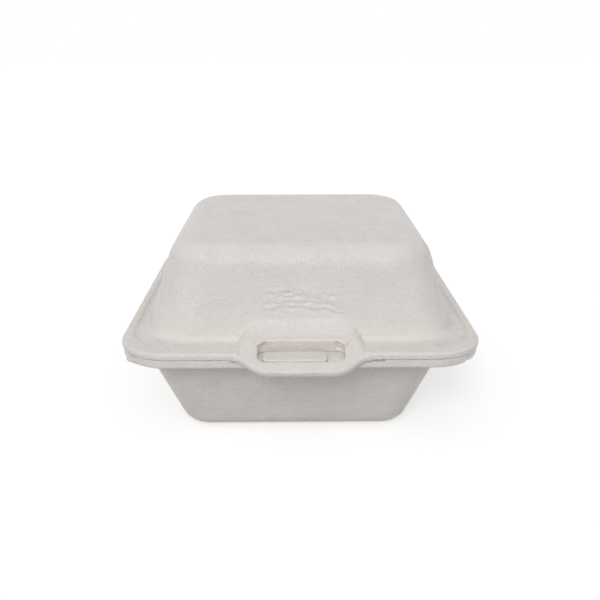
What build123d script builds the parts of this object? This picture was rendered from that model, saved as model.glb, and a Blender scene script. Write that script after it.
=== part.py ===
from build123d import *
import os
from math import atan, cos, degrees, radians, tan

# Foam clamshell box, closed. The origin is the middle of the tray's underside, +Z is up
# and the latch is at the front, towards -Y. All sizes are in millimetres, and a size
# that ends in _x or _y is measured from the middle to one side.

# Foam sheet
sheet = 2.4
rim_thickness = 2.6
seam_gap = 0.15

# Flanges
flange_x = 66.0
flange_y = 66.2
flange_r = 18.5
flange_shift_y = 0.8
tray_flange_inset = 0.4
rim_edge_r = 1.1
rim_seam_r = 0.5

# Tray, measured on the outside of its walls
tray_depth = 38.1
tray_mouth_x = 56.9
tray_mouth_y = 57.2
tray_floor_x = 43.4
tray_floor_y = 44.6
tray_corner_r = 12.5
tray_floor_edge_r = 8.0
tray_mouth_edge_r = 1.8
tray_neck_r = 2.0

# Lid, measured on the outside of its walls; it sits a little to the right of the tray
lid_slip = 2.2
dome_shift_y = 2.1
dome_height = 34.4
dome_foot_x = 58.2
dome_foot_y = 54.3
dome_top_x = 47.5
dome_top_y = 48.0
dome_corner_r = 17.4
dome_top_edge_r = 9.5
dome_foot_fillet_r = 2.6
dome_mouth_edge_r = 1.0

# Raised band round the lid's flange, wider at the front where the latch is
band_height = 0.9
band_side = 3.2
band_back = 3.8
band_front = 8.0
band_inner_r = 15.5
band_edge_r = 0.5

# Latch hood: a sloping tab with a raised lip behind its slot
hood_low_x = 24.6
hood_high_x = 15.0
lip_root = 0.5
seat_x = 22.0
seat_depth = 0.3
hood_lip_height = 2.7
hood_lip_y = 9.7
hood_slope_deg = 20.5
hood_side_r = 3.2
blend_bite = 0.2
hood_hollow_x = 19.0
hood_hollow_y = 8.9
hood_hollow_r = 2.0
tab_reach = 7.3
tab_seat = 2.0
tab_root_x = 27.0
tab_nose_x = 10.5
tab_edge_r = 0.9
tab_under_r = 0.6
tab_clearance = 0.3

# Slot in the hood, and the tongue of the tray that stands up in it
slot_x = 15.4
slot_front = 2.1
slot_back = 6.6
slot_back_lean = 1.8
slot_end_r = 3.2
slot_edge_r = 0.7
tongue_x = 11.4
tongue_front_gap = 0.35
tongue_back_gap = 0.7
tongue_proud = 0.15
tongue_corner_r = 2.0
tongue_edge_r = 0.5

# Living hinge: the strip of foam along the back that is crushed thin
hinge_x = 46.0
hinge_thickness = 0.8
hinge_loop_r = 1.15

# How near two places are to count as one
same_place = 0.02

# Levels and places that follow from the sizes above
seam_z = tray_depth
tray_under_z = seam_z - rim_thickness
lid_under_z = seam_z + seam_gap
rim_top_z = lid_under_z + rim_thickness
ledge_z = rim_top_z - band_height
dome_top_z = ledge_z + dome_height
front_y = flange_shift_y - flange_y
back_y = flange_shift_y + flange_y
lip_y = front_y + hood_lip_y
lip_z = rim_top_z + hood_lip_height
tab_front_y = front_y - tab_reach
slot_front_y = front_y - slot_front
slot_back_y = front_y + slot_back
tongue_front_y = slot_front_y + tongue_front_gap
tongue_back_y = slot_back_y - tongue_back_gap
lip_root_y = front_y - lip_root
slope = tan(radians(hood_slope_deg))
tab_thickness_z = sheet / cos(radians(hood_slope_deg))
hinge_mid_z = seam_z + seam_gap / 2
dome_lean = (dome_foot_y - dome_top_y) / dome_height


def hood_top_z(y):
    """Height of the hood's sloping top at a place along Y."""
    return lip_z - slope * (lip_y - y)


def hood_y_at(z):
    """Place along Y where the hood's sloping top has a height."""
    return lip_y - (lip_z - z) / slope


def dome_front_y(z):
    """Place along Y of the outside of the dome's front wall at a height."""
    return dome_shift_y - dome_foot_y + dome_lean * (z - ledge_z)


def leaning_sides(low_z, low_half, high_z, high_half, middle):
    """Outline of a form between two levels, given as half widths."""
    with BuildLine() as outline:
        Polyline(
            (middle - low_half, low_z),
            (middle + low_half, low_z),
            (middle + high_half, high_z),
            (middle - high_half, high_z),
            close=True,
        )
    return outline.line


def drafted_form(low_z, low, high_z, high, middle, corner_r):
    """Solid with four leaning sides between two rectangles of half length and half width."""
    low_x, low_y = low
    high_x, high_y = high
    mid_x, mid_y = middle
    with BuildPart() as form:
        with BuildSketch(Plane.YZ):
            add(leaning_sides(low_z, low_y, high_z, high_y, mid_y))
            make_face()
        extrude(amount=max(low_x, high_x) + abs(mid_x), both=True)
        with BuildSketch(Plane.XZ):
            add(leaning_sides(low_z, low_x, high_z, high_x, mid_x))
            make_face()
        extrude(amount=max(low_y, high_y) + abs(mid_y), both=True, mode=Mode.INTERSECT)
        fillet(
            form.edges().filter_by(lambda edge: abs((edge @ 0).Z - (edge @ 1).Z) > same_place),
            corner_r,
        )
    return form.part


def slot_form(grow):
    """Room of the slot, larger all round by an amount; its back wall leans away from the tongue."""
    with BuildPart() as form:
        for z, far_y in ((tray_under_z, slot_back_y), (lip_z, slot_back_y + slot_back_lean)):
            with BuildSketch(Plane.XY.offset(z)):
                with Locations((lid_slip, (slot_front_y + far_y) / 2)):
                    RectangleRounded(
                        2 * (slot_x + grow), far_y - slot_front_y + 2 * grow, slot_end_r + grow
                    )
        loft(ruled=True)
    return form.part


def shrink(section, amount):
    """The same rectangle with every side moved inwards."""
    half_x, half_y = section
    return half_x - amount, half_y - amount


def edges_at(part, z):
    """Edges that lie wholly at one height."""
    return part.edges().filter_by(
        lambda edge: all(abs((edge @ along).Z - z) < same_place for along in (0, 0.5, 1))
    )


def edges_on_slope(part, below):
    """Edges on the hood's slope, or on the plane that lies below it by a height."""
    return part.edges().filter_by(
        lambda edge: all(
            abs((edge @ along).Z - hood_top_z((edge @ along).Y) + below) < same_place
            for along in (0, 0.5, 1)
        )
    )


def edges_inside(edges, half_x, half_y, middle):
    """The edges whose middle lies within a rectangle in plan."""
    mid_x, mid_y = middle
    return edges.filter_by(
        lambda edge: abs((edge @ 0.5).X - mid_x) < half_x and abs((edge @ 0.5).Y - mid_y) < half_y
    )


def edges_ahead(edges, y):
    """The edges whose middle lies in front of a place along Y."""
    return edges.filter_by(lambda edge: (edge @ 0.5).Y < y - same_place)


tab_front_z = hood_top_z(tab_front_y)
tab_under_z = tab_front_z - tab_thickness_z
tray_mouth = (tray_mouth_x, tray_mouth_y)
tray_floor = (tray_floor_x, tray_floor_y)
dome_foot = (dome_foot_x, dome_foot_y)
dome_top = (dome_top_x, dome_top_y)
tray_middle = (0, 0)
flange_middle = (lid_slip, flange_shift_y)
dome_middle = (lid_slip, dome_shift_y)

# Outer and inner forms of the tray: walls that lean outwards, with a rounded floor edge
with BuildPart() as tray_outer:
    add(drafted_form(0, tray_floor, seam_z, tray_mouth, tray_middle, tray_corner_r))
    fillet(tray_outer.faces().sort_by(Axis.Z)[0].edges(), tray_floor_edge_r)

with BuildPart() as tray_inner:
    add(
        drafted_form(
            sheet,
            shrink(tray_floor, sheet),
            seam_z,
            shrink(tray_mouth, sheet),
            tray_middle,
            tray_corner_r - sheet,
        )
    )
    fillet(tray_inner.faces().sort_by(Axis.Z)[0].edges(), tray_floor_edge_r - sheet)

# Outer and inner forms of the lid's dome, with a rounded top edge
with BuildPart() as dome_outer:
    add(drafted_form(ledge_z, dome_foot, dome_top_z, dome_top, dome_middle, dome_corner_r))
    fillet(dome_outer.faces().sort_by(Axis.Z)[-1].edges(), dome_top_edge_r)

with BuildPart() as dome_inner:
    add(
        drafted_form(
            lid_under_z,
            shrink(dome_foot, sheet),
            dome_top_z - sheet,
            shrink(dome_top, sheet),
            dome_middle,
            dome_corner_r - sheet,
        )
    )
    fillet(dome_inner.faces().sort_by(Axis.Z)[-1].edges(), dome_top_edge_r - sheet)

# Tray: flange with a step down under the lid's tab, pan, and the tongue of the latch
tongue_top_z = hood_top_z(slot_front_y) + tongue_proud
step_top_z = seam_z + rim_thickness
step_drop = tab_thickness_z + tab_clearance

with BuildPart() as base_tray:
    with BuildSketch(Plane.XY.offset(tray_under_z)):
        with Locations((0, (front_y + tray_flange_inset + back_y) / 2)):
            RectangleRounded(
                2 * (flange_x - tray_flange_inset), back_y - front_y - tray_flange_inset, flange_r
            )
    extrude(amount=rim_thickness)
    fillet(edges_at(base_tray, tray_under_z), rim_edge_r)
    fillet(edges_at(base_tray, seam_z), rim_seam_r)
    with BuildSketch(Plane.YZ.offset(lid_slip)):
        with BuildLine():
            Polyline(
                (tab_front_y, tab_front_z - step_drop),
                (hood_y_at(step_top_z + step_drop), step_top_z),
                (tab_front_y, step_top_z),
                close=True,
            )
        make_face()
    extrude(amount=tab_root_x + tab_clearance, both=True, mode=Mode.SUBTRACT)
    add(tray_outer.part)
    fillet(
        edges_inside(edges_at(base_tray, tray_under_z), tray_mouth_x, tray_mouth_y, tray_middle),
        tray_neck_r,
    )
    add(tray_inner.part, mode=Mode.SUBTRACT)
    fillet(
        edges_inside(edges_at(base_tray, seam_z), tray_mouth_x, tray_mouth_y, tray_middle),
        tray_mouth_edge_r,
    )
    with BuildSketch(Plane.XY.offset(tray_under_z)):
        with Locations((0, (tongue_front_y + tongue_back_y) / 2)):
            RectangleRounded(2 * tongue_x, tongue_back_y - tongue_front_y, tongue_corner_r)
    extrude(amount=tongue_top_z - tray_under_z)
    fillet(edges_at(base_tray, tongue_top_z), tongue_edge_r)
base_tray.part.label = "base_tray"

# The hood's lip runs up into the dome's front wall in one hollow curve, tangent to both
blend_turn = 90 - degrees(atan(dome_lean)) - hood_slope_deg
blend_chord = tan(radians(90 - hood_slope_deg - blend_turn / 2))
blend_top_z = lip_z + (dome_front_y(lip_z) + blend_bite - lip_y) / (blend_chord - dome_lean)
blend_top_y = dome_front_y(blend_top_z) + blend_bite
hood_back_y = blend_top_y + sheet / 2

# Lip of the hood: its section along Y, with sides that lean in as they rise
with BuildPart() as lip:
    with BuildSketch(Plane.YZ.offset(lid_slip)):
        with BuildLine():
            Line((lip_root_y, hood_top_z(lip_root_y)), (lip_y, lip_z))
            TangentArc((blend_top_y, blend_top_z), (lip_y, lip_z), tangent=(-dome_lean, -1))
            Polyline(
                (blend_top_y, blend_top_z),
                (hood_back_y, blend_top_z),
                (dome_front_y(lid_under_z) + sheet / 2, lid_under_z),
                (lip_root_y, lid_under_z),
                (lip_root_y, hood_top_z(lip_root_y)),
            )
        make_face()
    extrude(amount=hood_low_x, both=True)
    with BuildSketch(Plane.XZ):
        add(leaning_sides(lid_under_z, hood_low_x, blend_top_z, hood_high_x, lid_slip))
        make_face()
    extrude(amount=flange_y + tab_reach, both=True, mode=Mode.INTERSECT)
    fillet(
        lip.edges().filter_by(
            lambda edge: abs((edge @ 0.5).X - lid_slip) > hood_high_x
            and max((edge @ 0).Y, (edge @ 1).Y) < blend_top_y + same_place
            and (edge @ 0.5).Z > rim_top_z
        ),
        hood_side_r,
    )

# Tab: a plate on the slope in front of the lip, with an S on each side that swells out of the flange
tab_plane = Plane(
    origin=(lid_slip, front_y, hood_top_z(front_y)),
    x_dir=(1, 0, 0),
    z_dir=(0, -slope, 1),
)
tab_run = tab_reach / cos(radians(hood_slope_deg))

with BuildPart() as hood:
    with BuildSketch(tab_plane):
        with BuildLine():
            left_swell = Spline(
                (-tab_root_x, 0), (-tab_nose_x, -tab_run), tangents=((1, 0), (1, 0))
            )
            nose = Line(left_swell @ 1, (tab_nose_x, -tab_run))
            right_swell = Spline(nose @ 1, (tab_root_x, 0), tangents=((1, 0), (1, 0)))
            Polyline(
                right_swell @ 1,
                (tab_root_x, tab_seat),
                (-tab_root_x, tab_seat),
                left_swell @ 0,
            )
        make_face()
    extrude(amount=-sheet)
    fillet(edges_ahead(edges_on_slope(hood, 0), front_y), tab_edge_r)
    fillet(edges_ahead(edges_on_slope(hood, tab_thickness_z), front_y), tab_under_r)
    add(lip.part)
    add(slot_form(0), mode=Mode.SUBTRACT)
    fillet(
        edges_inside(
            edges_on_slope(hood, 0),
            slot_x + slot_edge_r,
            slot_back + slot_back_lean + slot_edge_r,
            (lid_slip, front_y),
        ),
        slot_edge_r,
    )

# Seat for the hood's slope in the flange, a little deeper than the slope itself
with BuildPart() as hood_seat:
    with BuildSketch(Plane.YZ.offset(lid_slip)):
        with BuildLine():
            Polyline(
                (tab_front_y, tab_front_z - seat_depth),
                (lip_y, lip_z - seat_depth),
                (tab_front_y, lip_z),
                close=True,
            )
        make_face()
    extrude(amount=seat_x, both=True)

# The hood's hollow runs back into the dome's
hollow_front_y = front_y + hood_hollow_y
hollow_back_y = dome_front_y(ledge_z) + sheet + hood_hollow_r

# Lid: flange with its raised band, dome, hood and slot
with BuildPart() as lid:
    with BuildSketch(Plane.XY.offset(lid_under_z)):
        with Locations((lid_slip, flange_shift_y)):
            RectangleRounded(2 * flange_x, 2 * flange_y, flange_r)
    extrude(amount=rim_thickness)
    fillet(edges_at(lid, rim_top_z), rim_edge_r)
    fillet(edges_at(lid, lid_under_z), rim_seam_r)
    with BuildSketch(Plane.XY.offset(ledge_z)):
        with Locations((lid_slip, (front_y + band_front + back_y - band_back) / 2)):
            RectangleRounded(
                2 * (flange_x - band_side), back_y - band_back - front_y - band_front, band_inner_r
            )
    extrude(amount=band_height, mode=Mode.SUBTRACT)
    fillet(
        edges_inside(
            edges_at(lid, rim_top_z),
            flange_x - band_side / 2,
            flange_y - band_back / 2,
            flange_middle,
        ),
        band_edge_r,
    )
    add(dome_outer.part)
    fillet(
        edges_inside(
            edges_at(lid, ledge_z),
            dome_foot_x + dome_foot_fillet_r,
            dome_foot_y + dome_foot_fillet_r,
            dome_middle,
        ),
        dome_foot_fillet_r,
    )
    add(dome_inner.part, mode=Mode.SUBTRACT)
    fillet(
        edges_inside(edges_at(lid, lid_under_z), dome_foot_x, dome_foot_y, dome_middle),
        dome_mouth_edge_r,
    )
    add(hood_seat.part, mode=Mode.SUBTRACT)
    add(slot_form(2 * slot_edge_r), mode=Mode.SUBTRACT)
    add(hood.part)
    with BuildSketch(Plane.XY.offset(lid_under_z)):
        with Locations((lid_slip, (hollow_front_y + hollow_back_y) / 2)):
            RectangleRounded(2 * hood_hollow_x, hollow_back_y - hollow_front_y, hood_hollow_r)
    extrude(amount=lip_z - sheet - lid_under_z, mode=Mode.SUBTRACT)
lid.part.label = "lid"

# Living hinge: a thin loop of foam behind the two flanges
with BuildPart() as living_hinge:
    with BuildSketch(Plane.YZ.offset(lid_slip / 2)):
        with Locations((back_y, hinge_mid_z)):
            Circle(hinge_loop_r + hinge_thickness / 2)
            Circle(hinge_loop_r - hinge_thickness / 2, mode=Mode.SUBTRACT)
            Rectangle(
                hinge_loop_r + hinge_thickness,
                2 * (hinge_loop_r + hinge_thickness),
                align=(Align.MAX, Align.CENTER),
                mode=Mode.SUBTRACT,
            )
    extrude(amount=hinge_x, both=True)
living_hinge.part.label = "living_hinge"

os.makedirs("parts", exist_ok=True)
export_step(base_tray.part, "parts/base_tray.step")
export_step(lid.part, "parts/lid.step")
export_step(living_hinge.part, "parts/living_hinge.step")
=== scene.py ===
import math

import bmesh
import bpy
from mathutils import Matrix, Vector


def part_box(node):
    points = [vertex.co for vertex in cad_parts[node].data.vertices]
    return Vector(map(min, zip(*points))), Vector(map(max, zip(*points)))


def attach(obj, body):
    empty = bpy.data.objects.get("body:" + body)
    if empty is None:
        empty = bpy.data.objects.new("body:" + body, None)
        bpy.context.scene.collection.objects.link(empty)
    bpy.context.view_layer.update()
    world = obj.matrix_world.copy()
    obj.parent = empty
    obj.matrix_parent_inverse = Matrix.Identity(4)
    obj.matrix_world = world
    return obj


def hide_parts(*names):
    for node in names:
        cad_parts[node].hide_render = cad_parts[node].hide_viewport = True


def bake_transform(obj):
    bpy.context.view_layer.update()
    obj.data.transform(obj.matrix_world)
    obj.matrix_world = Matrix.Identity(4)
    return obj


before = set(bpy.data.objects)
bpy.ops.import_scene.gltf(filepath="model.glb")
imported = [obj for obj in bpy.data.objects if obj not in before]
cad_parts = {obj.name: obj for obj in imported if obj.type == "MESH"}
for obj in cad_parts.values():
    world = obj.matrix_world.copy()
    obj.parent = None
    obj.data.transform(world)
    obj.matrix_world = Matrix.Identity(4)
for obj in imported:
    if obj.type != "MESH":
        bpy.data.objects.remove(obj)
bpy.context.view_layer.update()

MM = 0.001

# Camera, from a fit to the outlines in the photograph
CAM_TARGET = Vector((2.2, 0.8, 36.5)) * MM
CAM_DISTANCE = 312.7 * MM
CAM_ELEVATION = math.radians(20.15)
CAM_YAW = math.radians(0.7)
CAM_LENS = 42.9
CAM_SHIFT_X = 0.0016
CAM_SENSOR = 36.0
CAM_NEAR = 0.01

# Colours of the foam, as linear values; the last is a grey of painted shade, multiplied in away from
# the middle of each fine cell
FOAM = (0.85, 0.802, 0.768, 1.0)
FOAM_DARK = (0.80, 0.77, 0.73, 1.0)
CELL_SHADE_GREY = (0.95, 0.95, 0.95, 1.0)

# Noise in the foam's skin: size of its marks, layers of detail, roughness of the layers
WAVES = (14 * MM, 2.0, 0.45)
RIPPLES = (3.5 * MM, 2.0, 0.5)
GRAIN = (0.3 * MM, 3.0, 0.6)
MOTTLE = (8 * MM, 4.0, 0.6)
GLOSS = (9 * MM, 3.0, 0.55)

# Beads, cells and pits in the foam's skin: about how far each is from the next
BEAD_SIZE = 1.5 * MM
CELL_SIZE = 0.7 * MM
PIT_SPACING = 9 * MM

# Relief of the skin's marks: height or depth, and strength
WAVE_RELIEF = (0.8 * MM, 1.0)
RIPPLE_RELIEF = (0.11 * MM, 1.0)
PIT_RELIEF = (0.22 * MM, 0.7)
BEAD_RELIEF = (0.17 * MM, 1.0)
CELL_RELIEF = (0.10 * MM, 1.0)
GRAIN_RELIEF = (0.03 * MM, 0.7)

# Smooth steps in the skin's patterns: the values where each starts and ends
PIT_STEP = (0.03, 0.11)
MOTTLE_STEP = (0.3, 0.75)
# The cell step sets where the painted shade of the fine cells starts and ends
CELL_SHADE_STEP = (0.25, 0.75)
GLOSS_STEP = (0.3, 0.75)

# Gloss of the foam: least and most roughness, index of refraction, level of the reflection
ROUGHNESS = (0.27, 0.42)
FOAM_IOR = 1.48
FOAM_SPECULAR = 0.35

# Floor: grey that throws light, grey that is seen, glow where seen, half its side in metres
FLOOR_GREY = 0.5
FLOOR_SEEN_GREY = 0.72
FLOOR_LIFT = 0.53
FLOOR_HALF = 4.0

# Light
KEY_STRENGTH = 0.72
KEY_ELEVATION = math.radians(37)
KEY_AZIMUTH = math.radians(-15)
KEY_ANGLE = math.radians(20)
ROOM_LEVEL = 0.44
ROOM_CONTRAST = 0.9
ROOM_BRIGHT_SIDE = (-0.15, -0.85, 0.5)

# Skins made from the solids: corners this near are joined, and sharper edges stay sharp
JOIN_DISTANCE = 0.003 * MM
SHARP_ANGLE = math.radians(38)

# Rim of the tray, which in the photograph sits right under the lid's and is a little thicker
RIM_SHIFT_X = 2.2 * MM
RIM_DEEPER = 0.8 * MM
RIM_LOW_Z = 34.0 * MM
RIM_UNDER_Z = 36.9 * MM
PAN_HALF = 60.5 * MM
TONGUE_HALF_X = 14.0 * MM

# Soft part of the lid round the latch: where it lies, and the margin that isn't smoothed
LID_MIDDLE_X = 2.2 * MM
SOFT_HALF_X = 36.0 * MM
SOFT_BACK_Y = -40.0 * MM
SOFT_LOW_Z = 41.2 * MM
SOFT_HIGH_Z = 64.0 * MM
SOFT_MARGIN = 2.0 * MM
SOFT_LOW_MARGIN_SHARE = 0.25

# Its finer mesh: longest edge in it, longest edge across it, most rounds of halving
SOFT_EDGE = 0.9 * MM
SOFT_LONG = 3 * SOFT_EDGE
SPLIT_PASSES = 9

# Its smoothing: rounds and strength, and the place round the slot that is left as it is
SOFT_PASSES = 14
SOFT_FACTOR = 0.5
SLOT_HALF_X = 17.8 * MM
SLOT_BACK_Y = -56.0 * MM

# Back wall of the slot, which in the photograph overhangs the tongue
SLOT_WALL_HALF_X = 16.4 * MM
SLOT_WALL_FROM_Y = -63.0 * MM
SLOT_WALL_TO_Y = -56.2 * MM
SLOT_WALL_FULL_Y = -59.5 * MM
OVERHANG = 1.4 * MM
UNDERCUT = 0.7 * MM
OVERHANG_Z = 42.0 * MM
UNDERCUT_Z = 40.6 * MM

# Creases of the skin above the latch: start x, end x, middle height, arch, tilt, strength
CREASES = (
    (-13.0, 9.0, 55.6, 1.6, -0.02, 0.9),
    (-10.5, 14.5, 54.0, 1.9, -0.05, 1.0),
    (-14.0, 5.0, 52.6, 1.2, 0.03, 0.9),
    (-3.0, 19.5, 52.0, 1.7, -0.12, 1.1),
    (-9.0, 10.0, 50.6, 1.5, -0.09, 1.3),
    (3.0, 20.5, 49.8, 1.1, -0.18, 1.0),
    (-13.0, -3.0, 50.4, 0.7, 0.10, 0.8),
    (9.0, 19.0, 56.0, 0.6, -0.07, 0.7),
    (-6.0, 4.0, 57.4, 0.6, 0.05, 0.7),
    (-12.5, -7.0, 57.0, 0.5, -0.15, 0.6),
)
CREASE_DEPTH = 0.34 * MM
CREASE_WIDTH = 0.5 * MM

# Waver of a crease: its height and turn for each mm along x, and for each mm of crease height
WAVER = 0.25
WAVER_TURN_X = 0.9
WAVER_TURN_Z = 2.1

# Shoulder pushed up beside a crease: its height, and how many widths away it is
SHOULDER = 0.55
SHOULDER_AWAY = 2.0

# Creases fade to their ends by this power, and lie only where the skin faces the front
CREASE_FADE = 0.6
CREASE_FACING_Y = -0.5

# Fold at the back: thickness of its strip, and steps round it and along it
FOLD_THICK = 0.7 * MM
FOLD_STEPS_ROUND = 14
FOLD_STEPS_ALONG = 120

# Sockets of a Mix node that mixes colours
MIX_SHARE, MIX_FIRST, MIX_SECOND, MIX_RESULT = 0, 6, 7, 2


class Graph:
    """Short way to write the nodes of a material or of the world."""

    def __init__(self, tree):
        self.tree = tree
        self.tree.nodes.clear()

    def node(self, kind, settings=None, **inputs):
        made = self.tree.nodes.new(kind)
        for key, value in (settings or {}).items():
            setattr(made, key, value)
        for key, value in inputs.items():
            self.put(made.inputs[key.replace("_", " ")], value)
        return made

    def put(self, socket, value):
        if isinstance(value, bpy.types.NodeSocket):
            self.tree.links.new(value, socket)
        else:
            socket.default_value = value

    def ramp(self, value, low, high, low_out=0.0, high_out=1.0, shape="SMOOTHSTEP"):
        made = self.node("ShaderNodeMapRange", {"interpolation_type": shape})
        for socket, number in zip(made.inputs, (value, low, high, low_out, high_out)):
            self.put(socket, number)
        return made.outputs[0]

    def math(self, operation, a, b):
        made = self.node("ShaderNodeMath", {"operation": operation})
        self.put(made.inputs[0], a)
        self.put(made.inputs[1], b)
        return made.outputs[0]

    def mix(self, share, first, second, blend_type="MIX"):
        made = self.node("ShaderNodeMix", {"data_type": "RGBA", "blend_type": blend_type})
        self.put(made.inputs[MIX_SHARE], share)
        self.put(made.inputs[MIX_FIRST], first)
        self.put(made.inputs[MIX_SECOND], second)
        return made.outputs[MIX_RESULT]

    def noise(self, vector, size, detail, rough):
        made = self.node("ShaderNodeTexNoise", Vector=vector, Scale=1 / size, Detail=detail)
        made.inputs["Roughness"].default_value = rough
        return made.outputs["Fac"]

    def cells(self, vector, size, feature="F1"):
        made = self.node("ShaderNodeTexVoronoi", {"feature": feature}, Vector=vector, Scale=1 / size)
        return made.outputs["Distance"]

    def bump(self, height, distance, strength, normal=None):
        made = self.node("ShaderNodeBump", Height=height, Distance=distance, Strength=strength)
        if normal is not None:
            self.put(made.inputs["Normal"], normal)
        return made.outputs["Normal"]


def grey(level):
    return (level, level, level, 1.0)


def new_material(name):
    """A material and the graph of its nodes."""
    material = bpy.data.materials.new(name)
    material.use_nodes = True
    return material, Graph(material.node_tree)


def foam_material(name):
    """Skin of pressed polystyrene foam: fine cells, soft waves, small pits and a slight gloss, with
    painted shade in the pattern of the fine cells.
    """
    material, g = new_material(name)
    place = g.node("ShaderNodeTexCoord").outputs["Object"]
    cells = g.cells(place, CELL_SIZE)
    reliefs = (
        (g.noise(place, *WAVES), WAVE_RELIEF),
        (g.noise(place, *RIPPLES), RIPPLE_RELIEF),
        (g.ramp(g.cells(place, PIT_SPACING), *PIT_STEP), PIT_RELIEF),
        (g.cells(place, BEAD_SIZE, "SMOOTH_F1"), BEAD_RELIEF),
        (cells, CELL_RELIEF),
        (g.noise(place, *GRAIN), GRAIN_RELIEF),
    )
    normal = None
    for height, (distance, strength) in reliefs:
        normal = g.bump(height, distance, strength, normal)
    mottle = g.ramp(g.noise(place, *MOTTLE), *MOTTLE_STEP)
    tone = g.mix(mottle, FOAM, FOAM_DARK)
    # Painted shade: the tone is multiplied by the cell grey, darker away from the middle of each
    # fine cell
    cell_shade = g.mix(g.ramp(cells, *CELL_SHADE_STEP), tone, CELL_SHADE_GREY, "MULTIPLY")
    gloss = g.noise(place, *GLOSS)
    shader = g.node("ShaderNodeBsdfPrincipled")
    g.put(shader.inputs["Base Color"], cell_shade)
    g.put(shader.inputs["Roughness"], g.ramp(gloss, *GLOSS_STEP, *ROUGHNESS))
    g.put(shader.inputs["Normal"], normal)
    shader.inputs["IOR"].default_value = FOAM_IOR
    shader.inputs["Specular IOR Level"].default_value = FOAM_SPECULAR
    g.node("ShaderNodeOutputMaterial", Surface=shader.outputs[0])
    return material


def seen_directly(g):
    """One for camera, glossy and transmission rays, zero for the light that is thrown."""
    path = g.node("ShaderNodeLightPath")
    seen = path.outputs["Is Camera Ray"]
    for kind in ("Is Glossy Ray", "Is Transmission Ray"):
        seen = g.math("MAXIMUM", seen, path.outputs[kind])
    return seen


def floor_material():
    """Floor that renders white and keeps the object's shadow."""
    material, g = new_material("floor_paper")
    seen = seen_directly(g)
    tone = g.mix(seen, grey(FLOOR_GREY), grey(FLOOR_SEEN_GREY))
    plain = g.node("ShaderNodeBsdfDiffuse", Color=tone)
    glow = g.math("MULTIPLY", seen, FLOOR_LIFT)
    lift = g.node("ShaderNodeEmission", Color=grey(1.0), Strength=glow)
    both = g.node("ShaderNodeAddShader")
    g.put(both.inputs[0], plain.outputs[0])
    g.put(both.inputs[1], lift.outputs[0])
    g.node("ShaderNodeOutputMaterial", Surface=both.outputs[0])
    return material


def new_object(name, data):
    """A new object in the scene."""
    made = bpy.data.objects.new(name, data)
    bpy.context.scene.collection.objects.link(made)
    return made


def copied(name):
    """The mesh of a CAD node as a new bmesh, in place, with its split corners joined."""
    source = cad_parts[name]
    mesh = bmesh.new()
    mesh.from_mesh(source.data)
    mesh.transform(source.matrix_world)
    bmesh.ops.remove_doubles(mesh, verts=mesh.verts, dist=JOIN_DISTANCE)
    return mesh


def placed(mesh, name, node, body, material):
    """A new piece from a bmesh, in place of a CAD node."""
    mesh.verts.index_update()
    points = [tuple(vert.co) for vert in mesh.verts]
    faces = [[vert.index for vert in face.verts] for face in mesh.faces]
    mesh.free()
    data = bpy.data.meshes.new(name)
    data.from_pydata(points, [], faces)
    data.polygons.foreach_set("use_smooth", [True] * len(data.polygons))
    data.set_sharp_from_angle(angle=SHARP_ANGLE)
    data.materials.append(material)
    piece = new_object(name, data)
    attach(piece, body)
    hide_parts(node)


def tray_skin(material):
    """The tray, with its rim moved under the lid's rim and a little deeper."""
    mesh = copied("base_tray")
    for vert in mesh.verts:
        x, y, z = vert.co
        in_pan = abs(x) < PAN_HALF and abs(y) < PAN_HALF
        at_tongue = abs(x) < TONGUE_HALF_X and y < 0
        if z < RIM_LOW_Z or in_pan:
            continue
        if not at_tongue:
            vert.co.x += RIM_SHIFT_X
        if z < RIM_UNDER_Z:
            vert.co.z -= RIM_DEEPER
    placed(mesh, "tray_skin", "base_tray", "base", material)


def lean_slot_wall(mesh):
    """The slot's back wall leans forward over the tongue at its top."""
    for vert in mesh.verts:
        x, y, z = vert.co
        if abs(x - LID_MIDDLE_X) < SLOT_WALL_HALF_X and SLOT_WALL_FROM_Y < y < SLOT_WALL_TO_Y:
            share = min((y - SLOT_WALL_FROM_Y) / (SLOT_WALL_FULL_Y - SLOT_WALL_FROM_Y), 1.0)
            if z > OVERHANG_Z:
                vert.co.y -= OVERHANG * share
            elif z < UNDERCUT_Z:
                vert.co.y += UNDERCUT * share


def in_soft_part(point, margin=0.0):
    return (
        abs(point.x - LID_MIDDLE_X) < SOFT_HALF_X - margin
        and point.y < SOFT_BACK_Y - margin
        and SOFT_LOW_Z + margin * SOFT_LOW_MARGIN_SHARE < point.z < SOFT_HIGH_Z - margin
    )


def round_slot(point):
    return abs(point.x - LID_MIDDLE_X) < SLOT_HALF_X and point.y < SLOT_BACK_Y


def too_long(edge):
    """True for an edge that ends in the soft part, or a longer one across it."""
    first, last = (vert.co for vert in edge.verts)
    length = edge.calc_length()
    if length > SOFT_EDGE and (in_soft_part(first) or in_soft_part(last)):
        return True
    return length > SOFT_LONG and in_soft_part((first + last) / 2)


def split_soft_part(mesh):
    """The soft part's long edges are halved, round after round, until none is left."""
    for _ in range(SPLIT_PASSES):
        long_edges = [edge for edge in mesh.edges if too_long(edge)]
        if not long_edges:
            break
        bmesh.ops.subdivide_edges(mesh, edges=long_edges, cuts=1)
        bmesh.ops.triangulate(mesh, faces=[face for face in mesh.faces if len(face.verts) > 3])


def smooth_soft_part(mesh):
    """The soft part's forms are rounded off, all but those round the slot."""
    soft = [
        vert
        for vert in mesh.verts
        if in_soft_part(vert.co, SOFT_MARGIN) and not round_slot(vert.co)
    ]
    axes = {"use_axis_x": True, "use_axis_y": True, "use_axis_z": True}
    for _ in range(SOFT_PASSES):
        bmesh.ops.smooth_vert(mesh, verts=soft, factor=SOFT_FACTOR, **axes)


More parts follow.
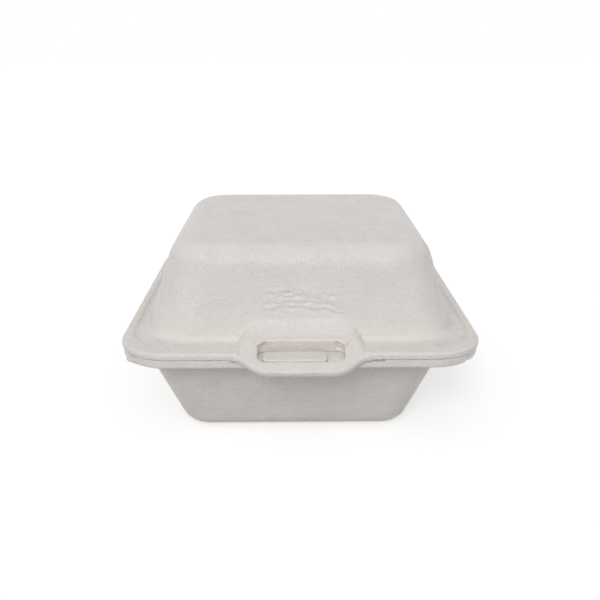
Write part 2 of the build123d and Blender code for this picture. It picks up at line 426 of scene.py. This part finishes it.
def crease_depth(x, z):
    """How far the skin is pressed in at a point of the front wall."""
    depth = 0.0
    for start, end, height, arch, tilt, strength in CREASES:
        along = (x / MM - start) / (end - start)
        if 0 < along < 1:
            bow = arch * (1 - (2 * along - 1) ** 2)
            line = height + bow + tilt * (x / MM - (start + end) / 2)
            line += WAVER * math.sin(WAVER_TURN_X * x / MM + WAVER_TURN_Z * height)
            away = (z / MM - line) * MM / CREASE_WIDTH
            fade = math.sin(math.pi * along) ** CREASE_FADE
            shoulder = SHOULDER * math.exp(-((away - SHOULDER_AWAY) ** 2))
            depth += strength * fade * (math.exp(-away * away) - shoulder)
    return depth * CREASE_DEPTH


def press_creases(mesh):
    mesh.normal_update()
    for vert in mesh.verts:
        if in_soft_part(vert.co) and vert.normal.y < CREASE_FACING_Y:
            vert.co -= vert.normal * crease_depth(vert.co.x, vert.co.z)


def lid_skin(material):
    """The lid, with the forms round the latch softened and the creases of its skin pressed in."""
    mesh = copied("lid")
    lean_slot_wall(mesh)
    split_soft_part(mesh)
    smooth_soft_part(mesh)
    press_creases(mesh)
    placed(mesh, "lid_skin", "lid", "lid", material)


def fold_ring(mesh, x, back, middle_z, radius):
    """One slice of the fold: its outer half circle upward, then its inner one downward."""
    upward = range(FOLD_STEPS_ROUND + 1)
    ring = []
    for reach, steps in ((radius, upward), (radius - FOLD_THICK, reversed(upward))):
        for k in steps:
            turn = math.pi * k / FOLD_STEPS_ROUND - math.pi / 2
            y = back + reach * math.cos(turn)
            z = middle_z + reach * math.sin(turn)
            ring.append(mesh.verts.new((x, y, z)))
    return ring


def closed_strip(mesh, rows):
    """Faces from each ring to the next, and one over either end."""
    count = len(rows[0])
    for a, b in zip(rows, rows[1:]):
        for k in range(count):
            mesh.faces.new((a[k], a[(k + 1) % count], b[(k + 1) % count], b[k]))
    mesh.faces.new(rows[0])
    mesh.faces.new(list(reversed(rows[-1])))
    bmesh.ops.recalc_face_normals(mesh, faces=mesh.faces)


def hinge_strip(material):
    """The fold: a thin loop of crushed foam that joins the two flanges along the back."""
    low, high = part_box("living_hinge")
    radius = (high.z - low.z) / 2
    middle_z = (high.z + low.z) / 2
    back = low.y
    mesh = bmesh.new()
    rows = []
    for i in range(FOLD_STEPS_ALONG + 1):
        x = low.x + (high.x - low.x) * i / FOLD_STEPS_ALONG
        rows.append(fold_ring(mesh, x, back, middle_z, radius))
    closed_strip(mesh, rows)
    data = bpy.data.meshes.new("fold_strip")
    mesh.to_mesh(data)
    mesh.free()
    data.polygons.foreach_set("use_smooth", [True] * len(data.polygons))
    data.materials.append(material)
    strip = new_object("fold_strip", data)
    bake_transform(strip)
    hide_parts("living_hinge")


def add_floor():
    half = FLOOR_HALF
    corners = [(-half, -half, 0), (half, -half, 0), (half, half, 0), (-half, half, 0)]
    data = bpy.data.meshes.new("floor")
    data.from_pydata(corners, [], [(0, 1, 2, 3)])
    data.materials.append(floor_material())
    floor = new_object("floor", data)


def direction(turn, rise):
    """Unit vector to the front, turned to the right and raised by two angles."""
    level = math.cos(rise)
    return Vector((math.sin(turn) * level, -math.cos(turn) * level, math.sin(rise)))


def look_back(thing, away):
    """The light or camera looks back along the vector that leads out to it."""
    thing.rotation_mode = "QUATERNION"
    thing.rotation_quaternion = (-away).to_track_quat("-Z", "Y")


def add_key():
    """A soft key from the upper left front."""
    data = bpy.data.lights.new("key", "SUN")
    data.energy = KEY_STRENGTH
    data.angle = KEY_ANGLE
    lamp = new_object("key", data)
    look_back(lamp, direction(KEY_AZIMUTH, KEY_ELEVATION))


def add_room():
    """A white room that lights more from the key's side, and is plain white where it is seen."""
    world = bpy.data.worlds.new("studio")
    world.use_nodes = True
    g = Graph(world.node_tree)
    facing = g.node("ShaderNodeVectorMath", {"operation": "DOT_PRODUCT"})
    g.put(facing.inputs[0], g.node("ShaderNodeTexCoord").outputs["Generated"])
    g.put(facing.inputs[1], ROOM_BRIGHT_SIDE)
    least = ROOM_LEVEL * (1 - ROOM_CONTRAST)
    most = ROOM_LEVEL * (1 + ROOM_CONTRAST)
    thrown = g.ramp(facing.outputs["Value"], -1.0, 1.0, least, most, "LINEAR")
    level = g.ramp(seen_directly(g), 0.0, 1.0, thrown, 1.0, "LINEAR")
    background = g.node("ShaderNodeBackground", Color=grey(1.0), Strength=level)
    g.node("ShaderNodeOutputWorld", Surface=background.outputs[0])
    bpy.context.scene.world = world


def add_camera():
    data = bpy.data.cameras.new("camera")
    data.lens = CAM_LENS
    data.sensor_width = CAM_SENSOR
    data.sensor_fit = "HORIZONTAL"
    data.shift_x = CAM_SHIFT_X
    data.clip_start = CAM_NEAR
    camera = new_object("camera", data)
    away = direction(-CAM_YAW, CAM_ELEVATION)
    camera.location = CAM_TARGET + away * CAM_DISTANCE
    look_back(camera, away)
    bpy.context.scene.camera = camera


add_camera()
foam = foam_material("foam_skin")
tray_skin(foam)
lid_skin(foam)
hinge_strip(foam)
add_floor()
add_key()
add_room()
bpy.context.scene.view_settings.view_transform = "Standard"
